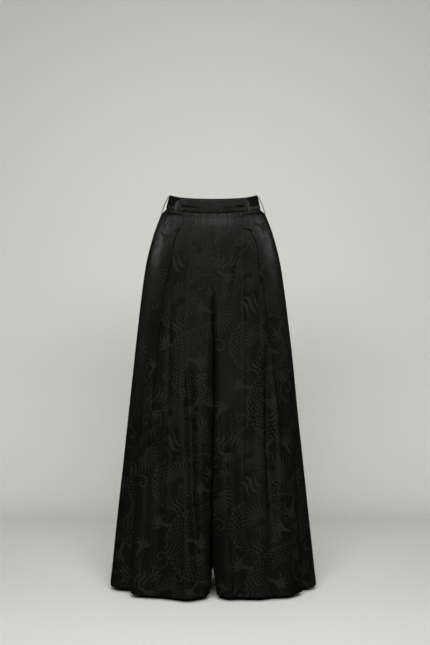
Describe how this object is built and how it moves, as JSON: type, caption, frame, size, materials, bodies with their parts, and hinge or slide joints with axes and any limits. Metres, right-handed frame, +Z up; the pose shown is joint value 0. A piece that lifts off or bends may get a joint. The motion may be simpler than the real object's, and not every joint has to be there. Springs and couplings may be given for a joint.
{
  "type": "chinese trousers",
  "caption": "Full-length wide-leg trousers in satin jacquard, filled out as if worn, with a flat front band, front tabs, side loops and inverted pleats.",
  "frame": {"origin": "middle of the waist, level with the waist seam at the sides", "axes": "+Z up along the body, -Y out of the garment's front, +X towards the wearer's left"},
  "size_m": [0.548, 0.3577, 1.0351],
  "materials": {
    "satin_jacquard": "black silk satin jacquard, soft sheen",
    "plain_band": "matte black ribbed elastic"
  },
  "bodies": {
    "root": {"leg_front_left": "satin_jacquard", "leg_front_right": "satin_jacquard", "leg_back_left": "satin_jacquard", "leg_back_right": "satin_jacquard", "waistband_front": "satin_jacquard", "waistband_back": "plain_band", "loop_front_left": "satin_jacquard", "loop_front_right": "satin_jacquard", "loop_side_left": "satin_jacquard", "loop_side_right": "satin_jacquard"}
  },
  "joints": []
}
